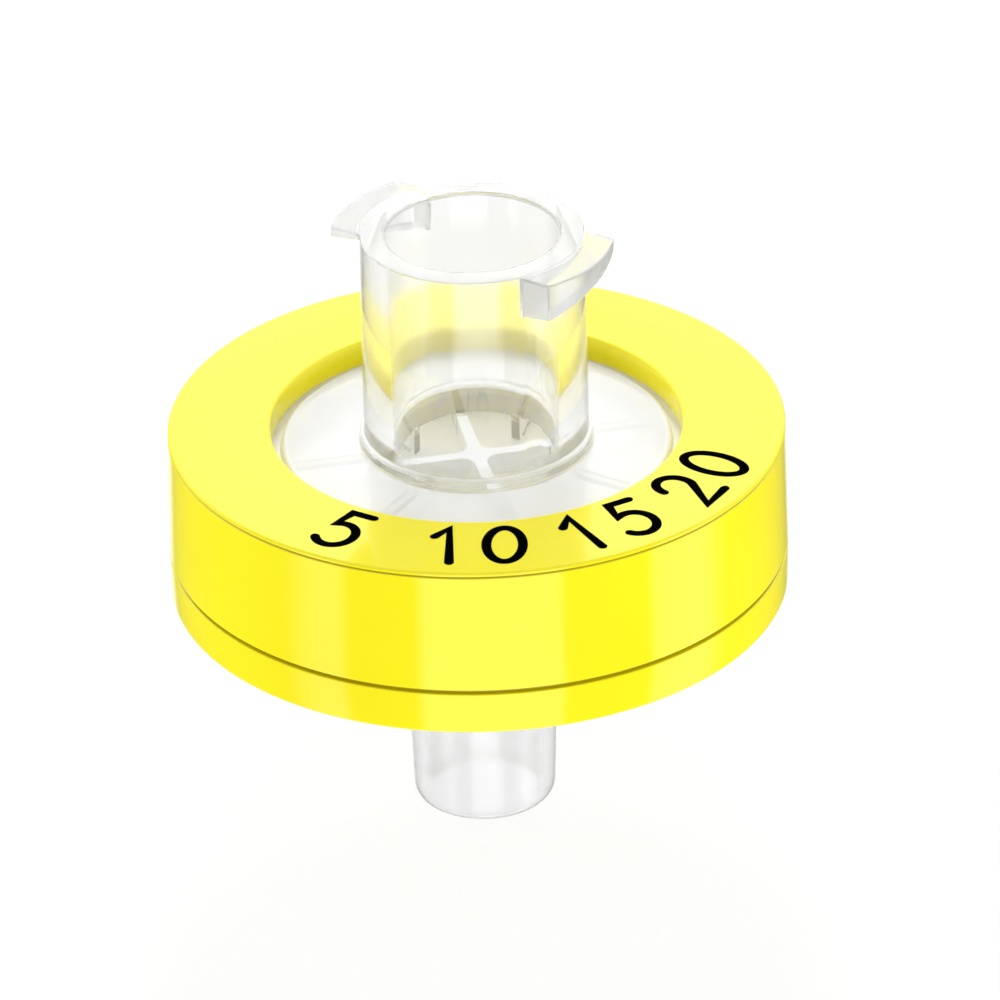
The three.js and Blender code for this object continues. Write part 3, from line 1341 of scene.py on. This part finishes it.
@dataclass
class PrintedScale(SubAssembly):
    """Plain numbers printed round the front of the ring's top, their heads towards the window."""

    slot = Slot.YELLOW
    numbers: tuple[str, ...] = ("5", "10", "15", "20")
    first_angle: float = -88.0
    step_angle: float = 30.3
    base_radius: float = 7.93
    width: float = 0.98
    height: float = 1.8
    gap: float = 0.6
    line: float = 0.27
    ink: float = 0.012
    bed: float = 0.01
    shoulder: float = 0.86
    mitre_limits: Point = (0.3, 1.6)
    cap_steps: int = 6
    cap_reach: float = 0.01

    def _bead(self, path: Sequence[Vector], closed: bool, lay: Callable[[Vector, float], Vector]) -> Solid:
        """Lays one flat bead of ink along a path.

        Args:
            path: The path's points in millimetres, in the digit's own plane.
            closed: Whether the last point is the first one again.
            lay: Takes a point in that plane and a height to the row frame.

        Returns:
            The bead.
        """
        half = self.line / 2
        stations = []
        count = len(path)
        for index, point in enumerate(path):
            before = path[index - 1] if index else (path[-2] if closed else path[0])
            after = path[index + 1] if index + 1 < count else (path[1] if closed else path[-1])
            arriving = (point - before).normalized() if point != before else (after - point).normalized()
            leaving = (after - point).normalized() if after != point else arriving
            tangent = (arriving + leaving).normalized()
            side = Vector((-tangent.y, tangent.x))
            least, most = self.mitre_limits
            mitre = min(most, 1 / max(least, tangent.dot(leaving)))
            stations.append((point, side, half * mitre))
        if not closed:
            stations = self._cap(stations, 0)[::-1] + stations + self._cap(stations, -1)
        left = ((-1, -self.bed), (-1, 0.0), (-self.shoulder, self.ink))
        profile = left + tuple((-x, z) for x, z in reversed(left))
        loops = [[lay(point + side * (reach * x), z) for x, z in profile] for point, side, reach in stations]
        return Solid.swept("stroke", loops[:-1] if closed else loops, closed)

    def _cap(self, stations: Sequence[Station], end: int) -> list[Station]:
        """The round end of a bead.

        Args:
            stations: The bead's stations.
            end: 0 for its start, -1 for its finish.

        Returns:
            The stations beyond that end, going outwards.
        """
        point, side, reach = stations[end]
        outwards = Vector((side.y, -side.x)) * (1 if end else -1)
        caps = []
        for step in range(1, self.cap_steps + 1):
            angle = math.radians(90 * step / self.cap_steps)
            along, across = reach * math.sin(angle), reach * math.cos(angle)
            caps.append((point + outwards * along, side, max(across, self.cap_reach)))
        return caps

    def shape(self) -> Solid:
        """Prints the numbers.

        Returns:
            The print.
        """
        beads = []
        for index, number in enumerate(self.numbers):
            angle = math.radians(self.first_angle + self.step_angle * index)
            outwards = Vector((math.cos(angle), math.sin(angle)))
            along = Vector((-outwards.y, outwards.x))
            full = len(number) * self.width + (len(number) - 1) * self.gap
            for place, letter in enumerate(number):
                left = place * (self.width + self.gap) - full / 2

                def lay(point: Vector, height: float) -> Vector:
                    """Takes a point of the digit's plane to the ring's top."""
                    flat = along * (point.x + left) + outwards * (self.base_radius - point.y)
                    return Vector((flat.x, flat.y, self.size.ring_top + height))

                digit = Digit(letter)
                path = [Vector((x * self.width, y * self.height)) for x, y in digit.stroke()]
                beads.append(self._bead(path, digit is Digit.ZERO, lay))
        scale = beads[0].merged_with(beads[1:])
        scale.object.name = "printed_scale"
        return scale.smoothed(50.0)


# --- the studio


@dataclass(frozen=True)
class Panel:
    """A bright upright panel of the surroundings: where it stands, how its edges fade, and its light.

    Both edges are directions in degrees from +X, and each fade is half the breadth that it takes.
    """

    right_edge: float
    left_edge: float
    right_fade: float
    left_fade: float
    light: float


@dataclass(frozen=True)
class Sky:
    """The light from above the horizon: at the camera's side, at the far side, and overhead."""

    front: float
    back: float
    zenith: float


@dataclass(frozen=True)
class Lamp:
    """A soft light: where it is, as seen from the object, its breadth and height, and what it adds."""

    direction: float
    elevation: float
    distance: float
    breadth: float
    height: float
    strength: float


@dataclass
class Studio:
    """Floor, surroundings, lamps and camera.

    The panels stand on a ground of gap_light up to glossy_horizon, where glossy_sky takes over. Matt
    surfaces see bounce_light up to soft_horizon, and soft_sky above it. Through clear plastic shows
    clear_light, with clear_contrast of the surroundings' darkness left in it. What is mirrored inside
    its walls has the panels brighter by inner_gain, below a sky of inner_sky.
    """

    size: Envelope
    view_direction: float = 33.0
    view_elevation: float = 29.369
    view_roll: float = 1.2846
    view_distance: float = 171.797
    view_shift: float = 0.607
    view_drop: float = 2.59
    lens: float = 221.378
    floor_edge: float = 1500.0
    gap_light: float = 0.2
    glossy_sky: Sky = Sky(0.7, 1.75, 0.9)
    soft_sky: Sky = Sky(0.35, 0.55, 1.0)
    bounce_light: float = 1.36
    clear_light: float = 0.95
    clear_contrast: float = 0.19
    inner_gain: float = 4.0
    inner_sky: float = 0.6
    glossy_horizon: Point = (0.12, 0.34)
    soft_horizon: Point = (-0.1, 0.2)
    sky_turn: Point = (-0.35, 0.55)
    zenith_band: Point = (0.65, 0.95)
    panels: tuple[Panel, ...] = (
        Panel(-79.0, -27.0, 3.0, 2.5, 2.2),
        Panel(9.0, 38.0, 2.5, 10.0, 1.9),
        Panel(110.0, 143.0, 6.0, 6.0, 1.0),
        Panel(-127.0, -108.0, 9.0, 3.0, 1.6),
    )
    lamps: tuple[Lamp, ...] = (
        Lamp(123.0, 34.0, 220.0, 42.0, 42.0, 0.78),
        Lamp(43.0, 7.0, 220.0, 90.0, 90.0, 0.3),
        Lamp(-177.0, 7.0, 220.0, 90.0, 90.0, 0.6),
        Lamp(-42.0, 0.0, 220.0, 120.0, 12.0, 0.24),
    )

    def _panel(self, graph: Graph, x: Value, y: Value, panel: Panel) -> Value:
        """How strongly a panel is seen.

        Args:
            graph: The tree of the surroundings.
            x: The direction's part along +X.
            y: The direction's part along +Y.
            panel: The panel's facts.

        Returns:
            The panel's light beyond that of the gaps, faded at its edges.
        """
        middle = math.radians((panel.right_edge + panel.left_edge) / 2)
        half = (panel.left_edge - panel.right_edge) / 2
        along = x * math.cos(middle) + y * math.sin(middle)
        across = y * math.cos(middle) - x * math.sin(middle)
        turn = graph.maths("ARCTAN2", across, along) * math.degrees(1.0)
        seen = graph.band(turn, -half, half, (panel.right_fade, panel.left_fade))
        return seen * (panel.light - self.gap_light)

    def _sky(self, graph: Graph, depth: Value, z: Value, sky: Sky) -> Value:
        """The light from above the horizon.

        Args:
            graph: The tree of the surroundings.
            depth: The direction's part along the view, level.
            z: The direction's part upwards.
            sky: The sky's facts.

        Returns:
            The light.
        """
        around = graph.step(depth, *self.sky_turn, sky.front, sky.back)
        return around + (sky.zenith - around) * graph.step(z, *self.zenith_band)

    def _surroundings(self) -> None:
        """Upright panels with dim gaps low down and a soft sky above; the camera sees plain white."""
        world = bpy.data.worlds.new("surroundings")
        world.use_nodes = True
        bpy.context.scene.world = world
        graph = Graph(world.node_tree)
        x, y, z = graph.axes(graph.out(graph.node("TexCoord"), "Generated"))
        behind = math.radians(self.view_direction + 90)
        depth = x * math.cos(behind) + y * math.sin(behind)
        low: Number = self.gap_light
        for panel in self.panels:
            low = low + self._panel(graph, x, y, panel)
        glossy_sky = self._sky(graph, depth, z, self.glossy_sky)
        light = low + (glossy_sky - low) * graph.step(z, *self.glossy_horizon)
        soft_sky = self._sky(graph, depth, z, self.soft_sky)
        soft = self.bounce_light + (soft_sky - self.bounce_light) * graph.step(z, *self.soft_horizon)
        path = graph.node("LightPath")
        camera = graph.out(path, "Is Camera Ray")
        scattered = graph.maths("MINIMUM", graph.out(path, "Diffuse Depth"), 1.0)
        mirrored = graph.maths("MINIMUM", graph.out(path, "Glossy Depth"), 1.0)
        bent = graph.out(path, "Is Transmission Ray")
        clear = self.clear_light - (1 - graph.maths("MINIMUM", light, 1.0)) * self.clear_contrast
        inner = 1 + (graph.maths("MAXIMUM", low, 1.0) - 1) * self.inner_gain
        inner = inner + (self.inner_sky - inner) * graph.step(z, *self.glossy_horizon)
        clear = clear + (inner - clear) * mirrored
        seen = light + (clear - light) * bent
        seen = seen + (soft - seen) * scattered
        strength = seen + (1 - seen) * camera
        background = graph.node("Background", inputs={"Color": WHITE, "Strength": strength})
        graph.finish(background, "OutputWorld")

    def _floor(self) -> None:
        """A white floor under the tip that keeps a faint shadow."""
        half = self.floor_edge / 2
        height = self.size.tip
        corners = [Vector((x * half, y * half, height)) for x, y in ((-1, -1), (1, -1), (1, 1), (-1, 1))]
        floor = Solid("studio_floor", corners, [(0, 1, 2, 3)]).object
        floor.visible_glossy = floor.visible_diffuse = floor.visible_transmission = False
        floor.data.materials.append(StudioWhite().material())

    def _lamp(self, index: int, lamp: Lamp) -> None:
        """Hangs one lamp.

        Args:
            index: The lamp's number.
            lamp: Its facts.
        """
        data = bpy.data.lights.new(f"soft_light_{index}", "AREA")
        data.shape = "RECTANGLE"
        data.size = lamp.breadth * MM
        data.size_y = lamp.height * MM
        distance = lamp.distance * MM
        data.energy = lamp.strength * math.pi**2 * distance**2
        light = add_object(data.name, data)
        light.visible_camera = light.visible_transmission = light.visible_glossy = False
        azimuth, elevation = math.radians(lamp.direction), math.radians(lamp.elevation)
        flat = math.cos(elevation)
        away = Vector((flat * math.cos(azimuth), flat * math.sin(azimuth), math.sin(elevation)))
        light.location = away * distance + Vector((0, 0, self.size.joint * MM))
        light.rotation_euler = away.to_track_quat("Z", "Y").to_euler()

    def _camera(self) -> None:
        """Sets up the camera."""
        angles = (self.view_direction, self.view_elevation, self.view_roll)
        turn, rise, roll = (math.radians(angle) for angle in angles)
        right = Vector((math.cos(turn), math.sin(turn), 0))
        back = Vector((math.sin(turn) * math.cos(rise), -math.cos(turn) * math.cos(rise), math.sin(rise)))
        up = back.cross(right)
        rolled_right = right * math.cos(roll) - up * math.sin(roll)
        rolled_up = right * math.sin(roll) + up * math.cos(roll)
        aim = right * self.view_shift + Vector((0, 0, self.size.ring_top - self.view_drop))
        data = bpy.data.cameras.new("camera")
        data.lens = self.lens
        data.sensor_width = 36.0
        data.clip_start = 0.001
        camera = add_object("camera", data)
        pose = Matrix((rolled_right, rolled_up, back)).transposed().to_4x4()
        pose.translation = (aim + back * self.view_distance) * MM
        camera.matrix_world = pose
        bpy.context.scene.camera = camera

    def build(self) -> None:
        """Sets up everything round the object, and lets light pass through many clear walls."""
        self._surroundings()
        self._floor()
        for index, lamp in enumerate(self.lamps):
            self._lamp(index, lamp)
        self._camera()
        bpy.context.scene.view_settings.view_transform = "Standard"
        cycles = bpy.context.scene.cycles
        cycles.max_bounces = cycles.transmission_bounces = 28
        cycles.glossy_bounces = 24
        cycles.diffuse_bounces = 12
        cycles.transparent_max_bounces = 16
        cycles.blur_glossy = 0.0
        LOG.info("studio: %d lamps, %d panels", len(self.lamps), len(self.panels))


def main() -> None:
    """Builds the whole scene in order."""
    logging.basicConfig(level=logging.INFO, format="%(name)s: %(message)s")
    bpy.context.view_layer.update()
    size = Envelope.from_frame()
    ring, inlet = OvermouldRing(size), InletHousing(size)
    clear = ClearPlastic(milky=inlet.milky, painted_shade_zones=inlet.painted_shade_zones, frosted=inlet.frosted).material()
    outlet = OutletHousing(size)
    greyish = ClearPlastic(
        name="greyish_polypropylene",
        tint=(0.91, 0.91, 0.92),
        haze=(0.89, 0.89, 0.9),
        milky=outlet.milky,
        # painted shade: the bore line is darkened, standing in for the dark refraction round the tip's end
        painted_shade_zones=(outlet.bore_line(0.8),),
        gloss=0.2,
        refraction=1.36,
    ).material()
    ring.build(YellowPlastic(painted_groove_shade=ring.painted_groove_shade).material())
    FilterMembrane(size).build(NylonMembrane().material())
    inlet.build(clear)
    outlet.build(greyish)
    PrintedScale(size).build(PrintingInk().material())
    Studio(size).build()


if __name__ == "__main__":
    main()
